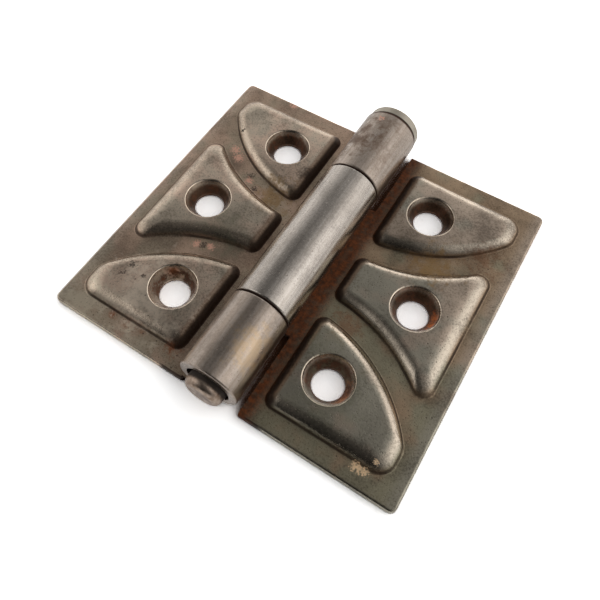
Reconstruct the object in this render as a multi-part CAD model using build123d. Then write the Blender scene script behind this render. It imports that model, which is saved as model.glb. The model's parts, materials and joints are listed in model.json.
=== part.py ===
from build123d import *
import os
from math import cos, radians, sin, sqrt

# Pressed-steel cabinet hinge with a rolled barrel and a loose pin, lying open
# on its back. The barrel runs along Y and the leaf backs lie on z = 0. The
# right leaf is on +X, the left leaf on -X, and the origin is under the axis.

# Sheet and leaves
SHEET = 1.75                # thickness of the pressed sheet
LEAF_HEIGHT = 76.0          # along the barrel
LEAF_REACH = 41.2           # barrel axis to outer edge
LEAF_CORNER_R = 1.4
LEAF_RIM_R = 0.6            # worn upper rim of the leaf
CUTOUT_X = 7.0              # leaf edge beside the other leaf's knuckles

# Barrel and pin
BARREL_R = 6.7
BARREL_FRONT = 37.3         # front end, from the leaf's middle line
BARREL_BACK = 37.8          # back end, under the pin's head
MIDDLE_KNUCKLE = 37.3       # the right leaf's single long knuckle
KNUCKLE_GAP = 0.4
KNUCKLE_EDGE_R = 0.35       # knuckle ends that meet one another or the head
BARREL_FRONT_R = 0.4        # rounded front end of the barrel
CURL_END = 42.0             # degrees below the horizontal where the roll stops
PIN_R = 4.2
PIN_DROP = 0.25             # the loose pin lies low in the bore
PIN_HEAD_R = 6.4
PIN_HEAD_RIM = 2.6
PIN_HEAD_DOME = 0.4
PIN_HEAD_EDGE_R = 0.6
PIN_NOSE_LENGTH = 2.6       # stands out of the front knuckle
PIN_NOSE_R = 1.5

# Raised pads, measured from each pad's foot line beside the barrel
PAD_INNER = {"left": 10.2, "right": 9.7}      # barrel axis to the pads' foot
PAD_LENGTH = 27.8
PAD_END_Y = 33.6            # foot line along the leaf's ends
PAD_RISE = 2.05
PAD_SIDE_RUN = 2.6          # plan width of a pad's rounded sides beside the barrel
PAD_TIP_RUN = 4.2           # and at the pad's outer end, where they slope gently
PAD_SIDE_ANGLES = (25, 45, 62, 78, 90)       # stations round a side's section, degrees
PAD_FOOT_R = 0.5
PAD_ARC_CENTRE = (-2.0, 45.8)
OUTER_PAD_ARC_R = 35.2      # convex edge of the two outer pads
MIDDLE_PAD_ARC_R = 39.8     # concave edges of the middle pad, same centre
PAD_CORNER_R = 2.2
FAN_TIP_R = 2.4             # outer corners of the middle pad
FIN_ARC_CORNER_R = 4.0
FIN_END_CORNER_R = 3.5
TOP_CORNER_SHARE = 0.5      # corner radius at the pad's top, as a share of the foot's
RECESS_INSET = 1.4          # foot line to the hollow pressed in from the back

# Screw holes: a cone formed down into each pad
SCREW_X = {"left": (20.1, 27.5), "right": (18.7, 26.2)}    # outer pads, middle pad
SCREW_Y = 23.0
SINK_TOP_R = 5.4
SINK_RIM_R = 0.4            # rounded lip of the countersink
SINK_HOLE_R = 3.5
SINK_LAND = 0.8             # straight edge of the hole at the back
SINK_WALL = 1.45            # sheet thinned by forming

NEAR = 0.01                 # edges and faces are picked within this distance
AXIS_Z = BARREL_R
BORE_R = BARREL_R - SHEET
PAD_TOP_Z = SHEET + PAD_RISE
SINK_SLOPE = (SINK_TOP_R - SINK_HOLE_R) / (PAD_TOP_Z - SINK_LAND)


def side_run(x, share, inset):
    """Plan distance from a pad's foot line to a section of its side at distance x."""
    return inset + share * (PAD_SIDE_RUN + (PAD_TIP_RUN - PAD_SIDE_RUN) * x / PAD_LENGTH)


def pad_arc(radius, share, inset, lift):
    """Arc of a pad edge in a section; the pad lies above it for lift 1, below it for -1."""
    centre_x, centre_y = PAD_ARC_CENTRE
    near_x = side_run(0, share, inset)
    far_x = PAD_LENGTH - side_run(PAD_LENGTH, share, inset)
    points = []
    for x in (near_x, (near_x + far_x) / 2, far_x):
        arc_y = centre_y - sqrt(radius**2 - (x - centre_x) ** 2)
        points.append((x, arc_y + lift * side_run(x, share, inset)))
    return ThreePointArc(*points)


def rounded(face, share, corner_radii):
    """Round a section's corners; each radius goes to the corner nearest its point."""
    shrink = 1 - (1 - TOP_CORNER_SHARE) * share
    for point, radius in corner_radii:
        corner = min(face.vertices(), key=lambda v: (v.X - point.X) ** 2 + (v.Y - point.Y) ** 2)
        face = fillet(corner, radius * shrink)
    return face


def fin_section(share, inset):
    """Section of an outer pad: straight sides closed by one convex arc."""
    arc = pad_arc(OUTER_PAD_ARC_R, share, inset, 1)
    near, far = arc @ 0, arc @ 1
    far_end = Vector(far.X, PAD_END_Y - side_run(far.X, share, inset))
    near_end = Vector(near.X, PAD_END_Y - side_run(near.X, share, inset))
    outline = make_face(arc + Polyline(far, far_end, near_end, near))
    corners = [
        (far, FIN_ARC_CORNER_R),
        (far_end, FIN_END_CORNER_R),
        (near_end, PAD_CORNER_R),
        (near, PAD_CORNER_R),
    ]
    return rounded(outline, share, corners)


def fan_section(share, inset):
    """Section of the middle pad: a fan between two concave arcs."""
    upper = pad_arc(MIDDLE_PAD_ARC_R, share, inset, -1)
    lower = mirror(upper, Plane.XZ)
    outline = make_face(upper + lower + Line(lower @ 0, upper @ 0) + Line(lower @ 1, upper @ 1))
    corners = []
    for arc in (upper, lower):
        corners += [(arc @ 0, PAD_CORNER_R), (arc @ 1, FAN_TIP_R)]
    return rounded(outline, share, corners)


def pillow(section, inset):
    """Pad lofted through sections that follow the round of its sides up to a flat top."""
    first = radians(PAD_SIDE_ANGLES[0])
    layers = []
    for degrees in PAD_SIDE_ANGLES:
        angle = radians(degrees)
        share = 1 - cos(angle) / cos(first)
        height = PAD_RISE * (sin(angle) - sin(first)) / (1 - sin(first))
        layers.append(Pos(0, 0, height) * section(share, inset))
    return loft(layers)


def pads(inset):
    """The three pads of a leaf, from the back end to the front, each inset from its foot line."""
    fin = pillow(fin_section, inset)
    return [fin, pillow(fan_section, inset), mirror(fin, Plane.XZ)]


def pressed_plate(side):
    """Flat plate with its three raised pads and every rounded edge."""
    width = LEAF_REACH - CUTOUT_X
    outline = Pos(CUTOUT_X + width / 2, 0) * Rectangle(width, LEAF_HEIGHT)
    outer_corners = outline.vertices().filter_by(lambda v: v.X > LEAF_REACH - NEAR)
    plate = extrude(fillet(outer_corners, LEAF_CORNER_R), SHEET)
    upper_edges = plate.faces().sort_by(Axis.Z)[-1].edges()
    plate = fillet(upper_edges.filter_by(lambda e: e.bounding_box().max.X > LEAF_REACH / 2), LEAF_RIM_R)
    for pad in pads(0):
        plate += Pos(PAD_INNER[side], 0, SHEET) * pad
    foot_edges = plate.edges().filter_by(
        lambda e: abs(e.bounding_box().min.Z - SHEET) < NEAR
        and abs(e.bounding_box().max.Z - SHEET) < NEAR
        and e.bounding_box().min.X > PAD_INNER[side] - NEAR
        and e.bounding_box().max.X < PAD_INNER[side] + PAD_LENGTH + NEAR
    )
    return fillet(foot_edges, PAD_FOOT_R)


def knuckle_section():
    """Section of a rolled knuckle with the sheet that leads into it, leaf on +X."""
    end_angle = radians(-CURL_END)
    end_outer = (BARREL_R * cos(end_angle), AXIS_Z + BARREL_R * sin(end_angle))
    end_inner = (BORE_R * cos(end_angle), AXIS_Z + BORE_R * sin(end_angle))
    middle_angle = radians(90 + (90 - CURL_END) / 2)
    far_outer = (BARREL_R * cos(middle_angle), AXIS_Z + BARREL_R * sin(middle_angle))
    far_inner = (BORE_R * cos(middle_angle), AXIS_Z + BORE_R * sin(middle_angle))
    root = CUTOUT_X + LEAF_RIM_R
    outline = (
        Line((root, 0), (0, 0))
        + ThreePointArc((0, 0), far_outer, end_outer)
        + Line(end_outer, end_inner)
        + ThreePointArc(end_inner, far_inner, (0, SHEET))
        + Line((0, SHEET), (root, SHEET))
        + Line((root, SHEET), (root, 0))
    )
    return make_face(outline)


def knuckle(start_y, end_y, start_r, end_r):
    """A rolled knuckle between two stations on the barrel, its end edges rounded."""
    section = Plane((0, end_y, 0), x_dir=(1, 0, 0), z_dir=(0, -1, 0)) * knuckle_section()
    roll = extrude(section, end_y - start_y)
    for station, radius in ((start_y, start_r), (end_y, end_r)):
        rim = roll.edges().filter_by(
            lambda e: e.geom_type == GeomType.CIRCLE
            and abs(e.radius - BARREL_R) < NEAR
            and abs(e.center().Y - station) < NEAR
        )
        roll = fillet(rim, radius)
    return roll


def screw_positions(side):
    """Centres of a leaf's three screw holes."""
    outer_x, middle_x = SCREW_X[side]
    return [(outer_x, SCREW_Y), (middle_x, 0), (outer_x, -SCREW_Y)]


def sink_cone(wall, bottom_z, top_z):
    """Cone parallel to the countersink, a wall thickness outside it."""
    height = top_z - bottom_z
    bottom_r = SINK_HOLE_R + (bottom_z - SINK_LAND) * SINK_SLOPE + wall * sqrt(1 + SINK_SLOPE**2)
    return Pos(0, 0, bottom_z) * Cone(
        bottom_r, bottom_r + height * SINK_SLOPE, height, align=(Align.CENTER, Align.CENTER, Align.MIN)
    )


def leaf(side, knuckles):
    """A leaf on +X: plate, pads hollow from the back, formed countersinks, rolled knuckles."""
    body = pressed_plate(side)
    for roll in knuckles:
        body += roll
    for hollow in pads(RECESS_INSET):
        body -= Pos(PAD_INNER[side], 0, 0) * hollow
    for x, y in screw_positions(side):
        body += Pos(x, y) * sink_cone(SINK_WALL, 0, PAD_TOP_Z - SHEET / 2)
    for x, y in screw_positions(side):
        body -= Pos(x, y) * sink_cone(0, SINK_LAND, PAD_TOP_Z)
        body -= Pos(x, y) * Cylinder(SINK_HOLE_R, 2 * SINK_LAND)
    rims = body.edges().filter_by(
        lambda e: e.geom_type == GeomType.CIRCLE
        and abs(e.radius - SINK_TOP_R) < NEAR
        and abs(e.center().Z - PAD_TOP_Z) < NEAR
    )
    return fillet(rims, SINK_RIM_R)


def pin():
    """Loose pin: domed head on the back knuckle, rounded nose out of the front one."""
    seat_y = BARREL_BACK
    nose_y = -BARREL_FRONT - PIN_NOSE_LENGTH
    shank = Pos(0, nose_y, 0) * Rectangle(PIN_R, seat_y - nose_y, align=Align.MIN)
    nose_corner = shank.vertices().sort_by(Axis.Y)[:2].sort_by(Axis.X)[-1]
    shank = fillet(nose_corner, PIN_NOSE_R)
    dome_radius = (PIN_HEAD_R**2 + PIN_HEAD_DOME**2) / (2 * PIN_HEAD_DOME)
    dome_y = seat_y + PIN_HEAD_RIM + PIN_HEAD_DOME
    head = Pos(0, seat_y, 0) * Rectangle(PIN_HEAD_R, dome_y - seat_y, align=Align.MIN)
    head &= Pos(0, dome_y - dome_radius, 0) * Circle(dome_radius)
    rim_corners = head.vertices().sort_by(Axis.X)[-2:]
    head = fillet(rim_corners, PIN_HEAD_EDGE_R)
    return Pos(0, 0, AXIS_Z - PIN_DROP) * revolve(shank + head, Axis.Y)


half = MIDDLE_KNUCKLE / 2
middle_roll = knuckle(-half, half, KNUCKLE_EDGE_R, KNUCKLE_EDGE_R)
back_roll = knuckle(half + KNUCKLE_GAP, BARREL_BACK, KNUCKLE_EDGE_R, KNUCKLE_EDGE_R)
front_roll = knuckle(-BARREL_FRONT, -half - KNUCKLE_GAP, BARREL_FRONT_R, KNUCKLE_EDGE_R)

nodes = {
    "left_leaf": mirror(leaf("left", [back_roll, front_roll]), Plane.YZ),
    "right_leaf": leaf("right", [middle_roll]),
    "hinge_pin": pin(),
}

os.makedirs("parts", exist_ok=True)
for name, solid in nodes.items():
    export_step(solid, f"parts/{name}.step")
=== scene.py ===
import json
import math
from types import SimpleNamespace
import bpy
from mathutils import Matrix, Vector

# Aged pressed-steel cabinet hinge, lying open on a white floor. The CAD nodes
# keep their shapes, and every surface gets a worn steel material.
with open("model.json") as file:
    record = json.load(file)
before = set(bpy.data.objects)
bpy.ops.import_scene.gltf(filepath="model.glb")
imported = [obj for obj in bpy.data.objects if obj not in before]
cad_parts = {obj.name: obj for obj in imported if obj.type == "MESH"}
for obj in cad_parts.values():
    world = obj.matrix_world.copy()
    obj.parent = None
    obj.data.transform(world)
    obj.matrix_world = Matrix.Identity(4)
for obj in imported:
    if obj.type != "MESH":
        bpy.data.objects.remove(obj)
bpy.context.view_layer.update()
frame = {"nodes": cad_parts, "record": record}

MM = 0.001
CAMERA_PLACE = (35.713, -63.938, 123.997)      # mm, in the CAD frame
CAMERA_TARGET = (-5.716, 1.148, 0.0)
CAMERA_ROLL = -0.218                           # degrees
CAMERA_LENS = 38.14
CAMERA_SENSOR = 36.0
CAMERA_SHIFT = (0.01735, -0.09177)
CAMERA_NEAR = 0.005

FLOOR_SIZE = 0.9                               # m
FLOOR_DROP = 0.05                              # mm below the leaf backs
SLIT_REACH = 9.0                               # mm round a place on the floor
SLIT_OPEN = (0.3, 0.5)                         # open share of the sky, from painted slit shade to white floor
TENT_RADIUS = 1.2                              # m
TENT_SEGMENTS, TENT_RINGS = 48, 24

# Places on the hinge in mm, for the materials' masks
AXIS_Z = 6.7
BARREL_R = 6.7
SHEET = 1.75
LEAF_REACH = 41.2
SEAM_Y = 18.85                                 # joints between the knuckles
BARREL_BACK = 37.8
LEAF_HALF = 38.0
SINK_R = 5.4
OUTER_BAND = (37.5, 40.5)                      # worn band along the outer edge, from the axis
VALLEY_BAND = (11.5, 8.0)                      # rusty strip beside the barrel, from the axis
NOSE_SPOT = (1.0, -39.6, 7.6)                  # brown spot on the pin's nose
GROOVE_REACH = 1.3                             # narrow corners, seen by occlusion, for grime and painted shade
HOLLOW_REACH = 3.2                             # wider hollows round the pads, for brown grime and painted shade
BUMP_DEPTH = 0.1
CROWN_SPAN = (4.5, 12.0)                       # from a hole's centre, where a pad's crown falls
CROWN_DROP = 3.0                               # in bump depths

# Noise sizes, in features per mm
PATCH_SCALE = 0.085
HUE_SCALE = 0.13
MOTTLE_SCALE = 0.42
GRAIN_SCALE = 2.3
RAGGED_SCALE = 1.1
STREAK_STRETCH = (1.6, 0.05, 1.6)
PIN_MOTTLE_SCALE = 0.6
PIT_CELLS = 0.8
FINE_PIT_CELLS = 1.7
BARREL_PIT_CELLS = 1.1

# Roughness of the surfaces
ROUGH_FLAT = 0.43
ROUGH_RAISED = 0.33
ROUGH_POLISHED = 0.2
ROUGH_SINK = 0.34
ROUGH_BARREL = {"left": 0.30, "right": 0.22}
ROUGH_DULL = 0.7
DULL_SHEEN = 0.25                              # specular level of rust, grime and painted shade

# Where the two leaves' wear, dirt, painted shade and painted highlight differ
INWARD = {"left": 1.0, "right": -1.0}          # sign of a normal's X that faces the barrel
WARM_DRIFT = {"left": 0.002, "right": 0.004}   # warmer towards the back, per mm
BACK_HIGHLIGHT = {"left": 0.1, "right": 0.7}       # painted highlight on the crests that face the back
HOLLOW_SHARE = {"left": 0.4, "right": 1.0}     # brown grime and painted shade in the hollows
RUST_SHARE = {"left": 0.12, "right": 1.0}      # in the strip beside the barrel
CREST_POLISH = {"left": 0.5, "right": 1.0}     # smoothness of the crests


class Graph:
    """A material's node tree, with short calls to add and link nodes."""

    def __init__(self, name):
        self.material = bpy.data.materials.new(name)
        self.material.use_nodes = True
        self.tree = self.material.node_tree
        self.tree.nodes.clear()

    def feed(self, socket, value):
        if isinstance(value, bpy.types.NodeSocket):
            self.tree.links.new(value, socket)
        else:
            socket.default_value = value

    def node(self, kind, inputs=None, **settings):
        made = self.tree.nodes.new(kind)
        for name, value in settings.items():
            setattr(made, name, value)
        for key, value in (inputs or {}).items():
            self.feed(made.inputs[key], value)
        return made

    def math(self, operation, a, b=0.0):
        return self.node("ShaderNodeMath", {0: a, 1: b}, operation=operation).outputs[0]

    def product(self, first, *others):
        for other in others:
            first = self.math("MULTIPLY", first, other)
        return first

    def either(self, first, *others):
        for other in others:
            first = self.math("MAXIMUM", first, other)
        return first

    def without(self, mask, removed):
        return self.math("MULTIPLY", mask, self.math("SUBTRACT", 1.0, removed))

    def sum_of(self, *terms):
        """Sum of (value, weight) terms."""
        total = None
        for value, weight in terms:
            term = self.product(value, weight)
            total = term if total is None else self.math("ADD", total, term)
        return total

    def step(self, value, low, high, bottom=0.0, top=1.0):
        """Smooth step from bottom at low to top at high; low may be the larger."""
        inputs = {"Value": value, "From Min": low, "From Max": high, "To Min": bottom, "To Max": top}
        return self.node("ShaderNodeMapRange", inputs, interpolation_type="SMOOTHSTEP").outputs[0]

    def vector(self, operation, a, b=(0.0, 0.0, 0.0)):
        return self.node("ShaderNodeVectorMath", {0: a, 1: b}, operation=operation)

    def in_mm(self, metres):
        made = self.node("ShaderNodeVectorMath", {0: metres, "Scale": 1 / MM}, operation="SCALE")
        return made.outputs[0]

    def distance(self, place, middle):
        return self.vector("DISTANCE", place, middle).outputs["Value"]

    def split(self, vector):
        return self.node("ShaderNodeSeparateXYZ", {0: vector}).outputs

    def noise(self, place, scale, detail, roughness):
        inputs = {"Vector": place, "Scale": scale, "Detail": detail, "Roughness": roughness}
        return self.node("ShaderNodeTexNoise", inputs).outputs["Fac"]

    def cells(self, place, scale):
        return self.node("ShaderNodeTexVoronoi", {"Vector": place, "Scale": scale}).outputs["Distance"]

    def open_sky(self, reach, samples, only_local):
        """Share of the sky that nothing covers within a reach in mm."""
        made = self.node("ShaderNodeAmbientOcclusion", {"Distance": reach * MM},
                         samples=samples, only_local=only_local)
        return made.outputs["AO"]

    def blend(self, share, a, b):
        """Colour a where share is 0 and b where it is 1."""
        made = self.node("ShaderNodeMix", data_type="RGBA")
        self.feed(made.inputs[0], share)
        self.feed(made.inputs[6], a)
        self.feed(made.inputs[7], b)
        return made.outputs[2]

    def lerp(self, share, a, b):
        """Number a where share is 0 and b where it is 1."""
        return self.node("ShaderNodeMix", {0: share, 2: a, 3: b}).outputs[0]

    def bump(self, relief):
        inputs = {"Strength": 1.0, "Distance": BUMP_DEPTH * MM, "Height": relief}
        return self.node("ShaderNodeBump", inputs).outputs[0]

    def output(self, shader):
        self.node("ShaderNodeOutputMaterial", {"Surface": shader.outputs[0]})
        return self.material


def colour(red, green, blue):
    return (red, green, blue, 1.0)


# Linear colours of the surfaces
STEEL = {"left": colour(0.49, 0.415, 0.355), "right": colour(0.57, 0.515, 0.46)}
STEEL_DULL = {"left": colour(0.36, 0.29, 0.235), "right": colour(0.44, 0.39, 0.34)}
PAD_WARM = {"left": colour(0.79, 0.60, 0.465), "right": colour(0.54, 0.435, 0.345)}
PAD_COOL = {"left": colour(0.63, 0.535, 0.42), "right": colour(0.43, 0.395, 0.32)}
FLAT_WARM = {"left": colour(0.58, 0.415, 0.305), "right": colour(0.47, 0.34, 0.225)}
FLAT_COOL = {"left": colour(0.49, 0.39, 0.285), "right": colour(0.385, 0.345, 0.24)}
SINK = colour(0.19, 0.12, 0.08)
PIN = colour(0.44, 0.345, 0.275)
PIN_DULL = colour(0.26, 0.185, 0.135)
HEAD = colour(0.43, 0.395, 0.325)
FLOOR_GREY = colour(0.7, 0.7, 0.7)             # lights the object
FLOOR_SHEEN = colour(1.8, 1.8, 1.8)            # in the object's reflections
FLOOR_WHITE = colour(3.0, 3.0, 3.0)            # as seen
# painted shade for the floor in the narrow slits
SLIT_SHADE = colour(0.10, 0.045, 0.025)
OXIDE = colour(0.03, 0.02, 0.014)
# grime, also painted shade in the narrow corners, at the pad feet and beside the barrel
GRIME_AND_SHADE = colour(0.03, 0.014, 0.008)
RUST = colour(0.24, 0.07, 0.018)
RUST_DARK = colour(0.065, 0.022, 0.008)
# brown grime, also painted shade in the hollows and on pad sides facing the barrel
UMBER_AND_SHADE = colour(0.10, 0.045, 0.02)
PALE = colour(0.62, 0.54, 0.41)
ORANGE = colour(0.70, 0.19, 0.045)
COPPER = colour(0.85, 0.47, 0.34)
TAN = colour(1.0, 0.70, 0.42)
BROWN = colour(0.17, 0.10, 0.06)
GOLD = colour(0.62, 0.43, 0.24)
OLIVE = colour(0.30, 0.29, 0.20)
WORN = colour(0.88, 0.73, 0.58)
OCHRE = colour(0.34, 0.20, 0.075)
CREST = {"left": colour(0.60, 0.485, 0.375), "right": colour(0.55, 0.47, 0.375)}
DULL = (RUST, BROWN, OXIDE, ORANGE, OCHRE)     # stains that are not bare metal

# Small broken flecks and pits: middle in mm, radius, colour
FLECKS = {
    "left": [
        ((-27.1, 37.3, 1.75), 1.2, COPPER),
        ((-31.3, 16.8, 1.75), 1.3, COPPER),
        ((-29.4, 15.0, 1.75), 1.3, COPPER),
        ((-23.6, 11.7, 1.75), 1.1, OXIDE),
        ((-23.2, 10.5, 1.75), 1.0, COPPER),
        ((-20.8, 9.0, 1.75), 0.8, OXIDE),
        ((-23.2, -10.7, 1.75), 1.0, COPPER),
        ((-21.6, -10.2, 1.75), 0.9, OXIDE),
        ((-20.0, -9.7, 1.75), 0.9, COPPER),
        ((-31.4, -26.0, 3.8), 0.6, OXIDE),
        ((-30.7, -23.3, 3.8), 0.9, OXIDE),
        ((-27.1, -24.4, 3.8), 0.5, OXIDE),
        ((-32.8, 22.1, 3.2), 0.6, OXIDE),
        ((-1.9, 35.4, 13.1), 0.7, COPPER),
    ],
    "right": [
        ((31.0, -34.3, 1.75), 0.9, TAN),
        ((32.1, -34.3, 1.75), 1.0, TAN),
        ((33.2, -34.2, 1.75), 0.8, TAN),
        ((34.1, -32.0, 3.1), 0.5, TAN),
    ],
}

# Wide soft stains: middle in mm, radius, colour, strength
STAINS = {
    "left": [
        ((-15.5, 9.5, 1.75), 6.0, OCHRE, 0.7),
        ((-27.5, -34.4, 1.75), 2.1, RUST, 1.0),
        ((-23.7, -34.4, 1.75), 1.9, RUST, 1.0),
        ((-19.8, -34.3, 1.75), 1.8, RUST, 0.9),
        ((-12.4, -33.8, 1.9), 2.6, RUST, 1.0),
        ((-13.0, -31.6, 3.6), 2.2, OXIDE, 0.8),
        ((-12.0, 18.4, 3.6), 2.2, OXIDE, 0.7),
        ((-22.9, -19.6, 3.0), 2.2, ORANGE, 0.85),
        ((1.6, 27.0, 13.0), 5.0, BROWN, 0.3),
        ((0.0, 34.0, 13.3), 3.5, BROWN, 0.5),
        ((-4.5, 28.0, 11.0), 8.0, BROWN, 0.75),
        ((4.8, -28.0, 11.4), 6.0, GOLD, 0.5),
        ((-20.0, -6.0, 3.8), 7.0, OLIVE, 0.4),
        ((-23.0, -27.0, 3.8), 12.0, WORN, 0.7),
        ((-36.0, -36.0, 1.75), 9.0, PALE, 0.7),
        ((-20.0, -38.0, 1.75), 7.0, PALE, 0.6),
    ],
    "right": [
        ((24.7, 12.0, 1.75), 6.5, OCHRE, 0.75),
        ((15.5, -10.5, 1.75), 5.0, RUST, 0.5),
        ((34.0, 20.0, 1.75), 5.0, RUST, 0.3),
        ((22.6, -24.2, 2.0), 3.6, ORANGE, 1.0),
        ((30.3, -0.8, 2.4), 3.2, ORANGE, 0.9),
        ((21.0, -27.0, 3.8), 10.0, OLIVE, 0.4),
        ((14.0, -16.0, 3.8), 6.0, OLIVE, 0.45),
    ],
}


def hole_centres(side):
    """Centres of a leaf's screw holes in mm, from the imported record's mounts."""
    mounts = {mount["name"]: mount for mount in frame["record"]["mounts"]}
    ends = mounts[f"{side}_end_holes"]
    middle = mounts[f"{side}_middle_hole"]
    half = ends["dims"]["spacing_y_mm"] / 2
    end_x = ends["pos_m"][0] / MM
    return [(end_x, half), (middle["pos_m"][0] / MM, 0.0), (end_x, -half)]


def hole_distance(g, side, x, y):
    """Distance to the nearest screw hole's centre, seen from above."""
    flat_place = g.node("ShaderNodeCombineXYZ", {0: x, 1: y}).outputs[0]
    nearest = None
    for centre_x, centre_y in hole_centres(side):
        away = g.distance(flat_place, (centre_x, centre_y, 0.0))
        nearest = away if nearest is None else g.math("MINIMUM", nearest, away)
    return nearest


def leaf_masks(g, side):
    """Noises and masks of a leaf's surface, from its places in mm and its normals."""
    m = SimpleNamespace()
    coords = g.node("ShaderNodeTexCoord").outputs
    m.place = g.in_mm(coords["Object"])
    x, m.y, m.z = g.split(m.place)
    normal_x, m.backward, m.up = g.split(coords["Normal"])
    inward = g.math("MULTIPLY", normal_x, INWARD[side])
    m.reach = g.math("ABSOLUTE", x)
    along = g.math("ABSOLUTE", m.y)
    height = g.math("SUBTRACT", m.z, AXIS_Z)
    axis_r = g.math("SQRT", g.math("ADD", g.product(x, x), g.product(height, height)))

    m.patches = g.noise(m.place, PATCH_SCALE, 3.0, 0.55)
    m.hue = g.noise(m.place, HUE_SCALE, 2.0, 0.5)
    m.mottle = g.noise(m.place, MOTTLE_SCALE, 6.0, 0.68)
    m.grain = g.noise(m.place, GRAIN_SCALE, 4.0, 0.65)
    m.ragged = g.noise(m.place, RAGGED_SCALE, 5.0, 0.7)
    m.streaks = g.noise(g.vector("MULTIPLY", m.place, STREAK_STRETCH).outputs[0], 1.0, 5.0, 0.65)
    m.blotch = g.sum_of((m.mottle, 0.65), (m.ragged, 0.35))

    # Forms: barrel, pads and their rounded crests, leaf rim, countersinks and their lips
    m.barrel = g.step(axis_r, BARREL_R + 0.9, BARREL_R + 0.3)
    m.raised = g.without(g.step(m.z, 2.2, 3.3), m.barrel)
    m.crest = g.product(m.raised, g.step(m.up, 0.999, 0.95))
    m.rim = g.either(
        g.step(m.reach, LEAF_REACH - 0.7, LEAF_REACH - 0.15),
        g.step(along, LEAF_HALF - 0.7, LEAF_HALF - 0.15),
    )
    m.hole_r = hole_distance(g, side, x, m.y)
    m.sink = g.step(m.hole_r, SINK_R - 0.1, SINK_R - 0.5)
    lip = g.step(m.hole_r, SINK_R + 0.5, SINK_R + 0.2)
    m.sink_rim = g.product(lip, g.step(m.up, 0.995, 0.93), m.raised)

    # Places darkened by dirt and painted shade: corners, hollows, pad sides towards the barrel, flats
    # beside it, feet; joints hold dirt only
    m.groove = g.step(g.open_sky(GROOVE_REACH, 8, True), 0.86, 0.5)
    hollow = g.product(g.step(g.open_sky(HOLLOW_REACH, 6, True), 0.95, 0.6), g.step(m.z, 3.0, 2.2))
    m.hollow = g.without(hollow, g.either(m.barrel, m.sink))
    # painted shade with grime on pad sides that face the barrel
    facing = g.product(g.step(inward, 0.03, 0.3), g.step(m.z, SHEET + 0.02, SHEET + 0.2))
    facing = g.product(facing, g.step(m.reach, 17.0, 13.0))
    m.facing = g.without(facing, g.either(m.barrel, m.sink, m.sink_rim))
    foot = g.product(
        g.step(m.z, 2.5, 2.1), g.step(m.z, SHEET + 0.01, SHEET + 0.08), g.step(m.up, 0.99, 0.93),
    )
    m.foot = g.product(g.without(foot, m.barrel), g.step(m.reach, LEAF_REACH - 1.2, LEAF_REACH - 1.8))
    # painted shade with grime on the flats beside the barrel
    beside = g.product(g.step(m.reach, 13.2, 11.2), g.step(m.z, 3.75, 3.1), g.step(m.up, 0.995, 0.9))
    m.beside = g.without(beside, m.barrel)
    valley = g.product(
        g.step(m.reach, *VALLEY_BAND), g.step(m.z, 2.4, 2.0), g.step(m.up, -0.5, 0.2, 0.4, 1.0),
    )
    m.valley = g.without(valley, m.barrel)
    joint = g.step(g.math("ABSOLUTE", g.math("SUBTRACT", along, SEAM_Y)), 0.32, 0.17)
    under_head = g.step(m.y, BARREL_BACK - 0.7, BARREL_BACK - 0.4)
    m.seam = g.product(m.barrel, g.either(joint, under_head))
    return m


def leaf_metal(g, m, side):
    """Leaf steel colour with a painted highlight on back-facing crests, and the share of it rubbed
    bright.
    """
    warm = g.step(g.math("SUBTRACT", m.hue, g.product(m.y, WARM_DRIFT[side])), 0.62, 0.38)
    flat = g.blend(warm, FLAT_COOL[side], FLAT_WARM[side])
    pad = g.blend(warm, PAD_COOL[side], PAD_WARM[side])
    roll = g.blend(g.step(m.streaks, 0.3, 0.7), STEEL_DULL[side], STEEL[side])
    outer = g.step(m.reach, *OUTER_BAND, 0.0, 0.75)
    worn = g.either(g.product(m.raised, 0.9), m.crest, g.product(m.rim, 0.9), m.sink_rim, outer)
    steel = g.blend(worn, flat, pad)
    steel = g.blend(g.product(m.crest, 0.9), steel, CREST[side])
    # painted highlight: crests that face the back are made lighter
    back_highlight = g.product(m.crest, g.step(m.backward, 0.03, 0.35), BACK_HIGHLIGHT[side])
    steel = g.blend(back_highlight, steel, WORN)
    steel = g.blend(g.product(m.sink_rim, 0.7), steel, WORN)
    steel = g.blend(g.without(m.sink, m.sink_rim), steel, SINK)
    steel = g.blend(m.barrel, steel, roll)
    tone = g.sum_of((m.patches, 0.4), (m.mottle, 0.2), (m.grain, 0.4))
    aged = g.without(g.step(tone, 0.58, 0.38, 0.0, 0.6), g.product(m.barrel, 0.45))
    return g.blend(aged, steel, OXIDE), worn


def leaf_stains(g, m, side, steel):
    """Brown grime with painted shade in hollows and barrel-facing pad sides, wide stains; also the dull
    share.
    """
    share = HOLLOW_SHARE[side]
    # painted shade with brown grime in the occluded hollows and on barrel-facing pad sides
    brown = g.product(m.hollow, g.step(m.blotch, 0.35, 0.6, 0.4 * share, 0.9 * share))
    brown = g.either(brown, g.product(m.facing, 0.6))
    steel = g.blend(brown, steel, UMBER_AND_SHADE)
    dull = g.product(brown, 0.45)
    for middle, radius, tint, strength in STAINS[side]:
        ragged_edge = g.step(m.blotch, 0.3, 0.7, -radius * 0.7, radius * 0.7)
        away = g.math("ADD", g.distance(m.place, middle), ragged_edge)
        stain = g.product(g.step(away, radius, 0.0), strength)
        if tint is ORANGE:                     # fresh rust stays inside the countersinks
            stain = g.product(stain, m.sink)
        steel = g.blend(stain, steel, tint)
        if tint in DULL:
            dull = g.either(g.product(stain, 0.8), dull)
    return steel, dull


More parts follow.
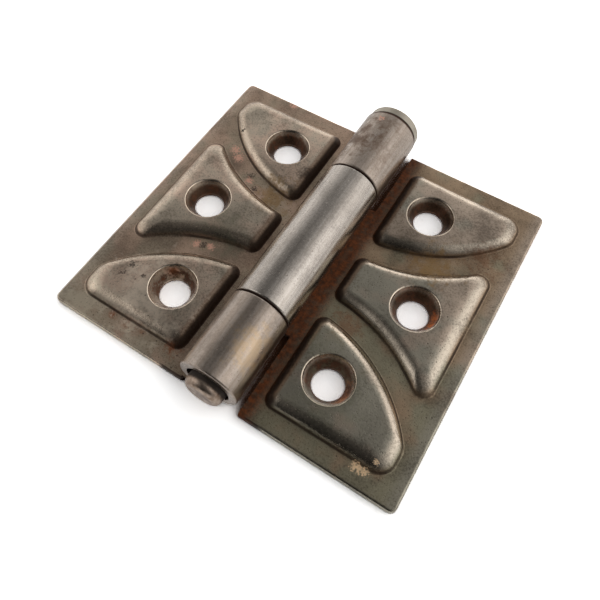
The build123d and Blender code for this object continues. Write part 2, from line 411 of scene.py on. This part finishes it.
def leaf_dirt(g, m, side, steel, dull, worn):
    """Pits, specks, grime with painted shade, rust and flecks over the stained steel."""
    m.pit = g.product(g.step(g.cells(m.place, PIT_CELLS), 0.2, 0.08), g.step(m.mottle, 0.51, 0.6))
    fine = g.product(g.step(g.cells(m.place, FINE_PIT_CELLS), 0.24, 0.1), g.step(m.patches, 0.46, 0.58))
    specks = g.product(g.step(m.grain, 0.57, 0.69), g.step(worn, 0.6, 0.0, 0.25, 0.75))
    dirt = g.either(g.product(m.pit, 0.8), g.product(fine, 0.7), specks)
    dirt = g.product(dirt, g.step(m.up, 0.9, 0.985))
    on_barrel = g.product(m.barrel, 0.85)
    m.dirt = g.without(dirt, on_barrel)
    steel = g.blend(m.dirt, steel, OXIDE)
    barrel_pits = g.step(g.cells(m.place, BARREL_PIT_CELLS), 0.18, 0.07)
    barrel_pits = g.product(barrel_pits, g.step(m.mottle, 0.46, 0.58), m.barrel, 0.6)
    steel = g.blend(barrel_pits, steel, BROWN)
    steel = g.blend(m.seam, steel, RUST_DARK)

    # grime with painted shade in the narrow corners, at the pad feet and beside the barrel
    grime_and_shade = g.either(
        g.product(m.groove, 0.8),
        g.product(m.foot, g.step(m.patches, 0.35, 0.6, 0.25, 0.85)),
        g.product(m.beside, 0.85),
    )
    grime_and_shade = g.without(grime_and_shade, m.sink)
    steel = g.blend(g.without(grime_and_shade, on_barrel), steel, GRIME_AND_SHADE)

    rust = g.either(
        g.product(m.valley, g.step(m.mottle, 0.32, 0.55, 0.75, 1.0), RUST_SHARE[side]),
        g.product(m.sink, g.step(m.mottle, 0.45, 0.6), 0.6),
        g.product(m.groove, g.step(m.patches, 0.42, 0.6), g.step(m.reach, 20.0, 10.0, 0.2, 0.6)),
    )
    speckle = g.sum_of((m.blotch, 0.5), (m.ragged, 0.5))
    steel = g.blend(rust, steel, g.blend(g.step(speckle, 0.38, 0.68), RUST_DARK, RUST))
    dull = g.either(dull, m.dirt, barrel_pits, m.seam, rust, g.product(grime_and_shade, 0.7))

    for middle, radius, tint in FLECKS[side]:
        broken_edge = g.step(m.grain, 0.3, 0.7, -radius * 0.8, radius * 0.8)
        away = g.math("ADD", g.distance(m.place, middle), broken_edge)
        fleck = g.product(g.step(away, radius, radius * 0.55), 0.8)
        steel = g.blend(fleck, steel, tint)
        dull = g.either(dull, fleck)
    return steel, dull


def leaf_roughness(g, m, side, dull):
    polish = g.product(m.crest, CREST_POLISH[side])
    roughness = g.lerp(m.raised, ROUGH_FLAT, ROUGH_RAISED)
    roughness = g.lerp(g.either(polish, g.product(m.rim, 0.8), m.sink_rim), roughness, ROUGH_POLISHED)
    roughness = g.lerp(m.sink, roughness, ROUGH_SINK)
    roughness = g.lerp(m.barrel, roughness, ROUGH_BARREL[side])
    roughness = g.math("ADD", roughness, g.step(m.mottle, 0.3, 0.7, 0.04, -0.04))
    return g.lerp(dull, roughness, ROUGH_DULL)


def leaf_relief(g, m):
    """Height of the fine relief, in bump depths, with the slight crown of the pads."""
    grain_height = g.step(m.barrel, 0.0, 1.0, 0.3, 0.05)
    relief = g.math("ADD", g.product(m.mottle, 0.25), g.product(m.grain, grain_height))
    relief = g.math("SUBTRACT", relief, g.product(g.either(m.pit, m.dirt), 0.25))
    relief = g.math("ADD", relief, g.product(m.streaks, m.barrel, 0.08))
    crown = g.without(g.step(m.hole_r, *CROWN_SPAN, 0.0, -CROWN_DROP), m.barrel)
    return g.math("ADD", relief, crown)


def leaf_steel(side):
    """Worn steel of a leaf: burnished pads and barrel, brown flats, rust in the hollows."""
    g = Graph(f"{side}_leaf_steel")
    m = leaf_masks(g, side)
    steel, worn = leaf_metal(g, m, side)
    steel, dull = leaf_stains(g, m, side, steel)
    steel, dull = leaf_dirt(g, m, side, steel, dull, worn)
    shader = g.node("ShaderNodeBsdfPrincipled", {
        "Base Color": steel,
        "Metallic": g.step(dull, 0.0, 1.0, 1.0, 0.0),
        "Roughness": leaf_roughness(g, m, side, dull),
        "Normal": g.bump(leaf_relief(g, m)),
        "Specular IOR Level": DULL_SHEEN,
    })
    return g.output(shader)


def pin_steel():
    """Steel of the pin: painted shade with grime at the bore and under the head, a brown spot on the
    nose, lighter on the head.
    """
    g = Graph("pin_steel")
    place = g.in_mm(g.node("ShaderNodeTexCoord").outputs["Object"])
    y = g.split(place)[1]
    mottle = g.noise(place, PIN_MOTTLE_SCALE, 6.0, 0.68)
    grain = g.noise(place, GRAIN_SCALE, 4.0, 0.65)
    steel = g.blend(g.step(mottle, 0.36, 0.62), PIN_DULL, PIN)
    away = g.math("ADD", g.distance(place, NOSE_SPOT), g.step(mottle, 0.25, 0.75, -1.2, 1.2))
    spots = g.either(g.product(g.step(mottle, 0.42, 0.32), 0.7), g.product(g.step(away, 2.4, 1.0), 0.9))
    # painted shade with grime where the pin enters the barrel: under the head and inside the bore
    under_head = g.product(
        g.step(y, BARREL_BACK + 0.7, BARREL_BACK + 0.45), g.step(y, 0.0, BARREL_BACK),
    )
    in_bore = g.product(g.step(y, -38.6, -37.9), g.step(y, -34.0, -36.5))
    grime_and_shade = g.either(under_head, g.product(in_bore, 0.9))
    steel = g.blend(spots, steel, BROWN)
    steel = g.blend(g.product(g.step(y, BARREL_BACK, BARREL_BACK + 0.5), 0.8), steel, HEAD)
    steel = g.blend(grime_and_shade, steel, OXIDE)
    shader = g.node("ShaderNodeBsdfPrincipled", {
        "Base Color": steel,
        "Metallic": g.step(grime_and_shade, 0.0, 1.0, 1.0, 0.2),
        "Roughness": g.lerp(grime_and_shade, g.step(mottle, 0.3, 0.7, 0.42, 0.28), ROUGH_DULL),
        "Normal": g.bump(g.sum_of((mottle, 0.6), (grain, 0.3))),
    })
    return g.output(shader)


def dress(node, material):
    node.data.materials.clear()
    node.data.materials.append(material)


def floor():
    """White floor that keeps the object's shadow, with painted shade in the narrow slits."""
    g = Graph("white_floor")
    ray = g.node("ShaderNodeLightPath").outputs
    # painted shade: the seen floor turns dark where the sky is mostly covered, as in the slits
    white = g.blend(g.step(g.open_sky(SLIT_REACH, 16, False), *SLIT_OPEN), SLIT_SHADE, FLOOR_WHITE)
    tone = g.blend(ray["Is Glossy Ray"], FLOOR_GREY, FLOOR_SHEEN)
    tone = g.blend(ray["Is Camera Ray"], tone, white)
    shader = g.node("ShaderNodeBsdfDiffuse", {"Color": tone})
    material = g.output(shader)
    bpy.ops.mesh.primitive_plane_add(size=FLOOR_SIZE, location=(0, 0, -FLOOR_DROP * MM))
    plane = bpy.context.object
    plane.name = "floor"
    plane.data.materials.append(material)


# Glow of the light tent: degrees from +Y towards +X, degrees up, narrowness, strength
TENT_GLOW = [
    (66.0, 30.0, 5.2, 1.46),
    (-67.0, 13.0, 7.5, 1.02),
    (-116.0, 28.0, 13.0, 1.32),
    (-8.0, 12.0, 7.0, 1.20),
]
TENT_BASE = 0.01


def light_tent():
    """Soft studio tent round the object, bright at the right back and left, dark in front."""
    g = Graph("tent_glow")
    place = g.node("ShaderNodeTexCoord").outputs["Object"]
    way = g.vector("NORMALIZE", place).outputs[0]
    glow = TENT_BASE
    for turn, rise, spread, strength in TENT_GLOW:
        turn, rise = math.radians(turn), math.radians(rise)
        towards = (math.sin(turn) * math.cos(rise), math.cos(turn) * math.cos(rise), math.sin(rise))
        facing = g.vector("DOT_PRODUCT", way, towards).outputs["Value"]
        lobe = g.math("EXPONENT", g.math("MULTIPLY", g.math("SUBTRACT", facing, 1.0), spread))
        glow = g.math("ADD", g.math("MULTIPLY", lobe, strength), glow)
    shader = g.node("ShaderNodeEmission", {"Strength": glow})
    material = g.output(shader)
    bpy.ops.mesh.primitive_uv_sphere_add(
        segments=TENT_SEGMENTS, ring_count=TENT_RINGS, radius=TENT_RADIUS,
    )
    tent = bpy.context.object
    tent.name = "light_tent"
    tent.data.materials.append(material)
    tent.visible_camera = False


def white_world():
    world = bpy.data.worlds.new("white_world")
    world.use_nodes = True
    background = world.node_tree.nodes["Background"]
    background.inputs["Color"].default_value = colour(1.0, 1.0, 1.0)
    background.inputs["Strength"].default_value = 1.0
    bpy.context.scene.world = world


def camera():
    """Camera at the photograph's viewing angle."""
    data = bpy.data.cameras.new("camera")
    data.lens = CAMERA_LENS
    data.sensor_width = CAMERA_SENSOR
    data.shift_x, data.shift_y = CAMERA_SHIFT
    data.clip_start = CAMERA_NEAR
    made = bpy.data.objects.new("camera", data)
    place = Vector(CAMERA_PLACE) * MM
    look = Vector(CAMERA_TARGET) * MM - place
    turn = look.to_track_quat("-Z", "Y").to_matrix().to_4x4()
    roll = Matrix.Rotation(math.radians(CAMERA_ROLL), 4, "Z")
    made.matrix_world = Matrix.Translation(place) @ turn @ roll
    bpy.context.scene.collection.objects.link(made)
    bpy.context.scene.camera = made


dress(frame["nodes"]["left_leaf"], leaf_steel("left"))
dress(frame["nodes"]["right_leaf"], leaf_steel("right"))
dress(frame["nodes"]["hinge_pin"], pin_steel())
floor()
light_tent()
white_world()
camera()
bpy.context.scene.view_settings.view_transform = "Standard"
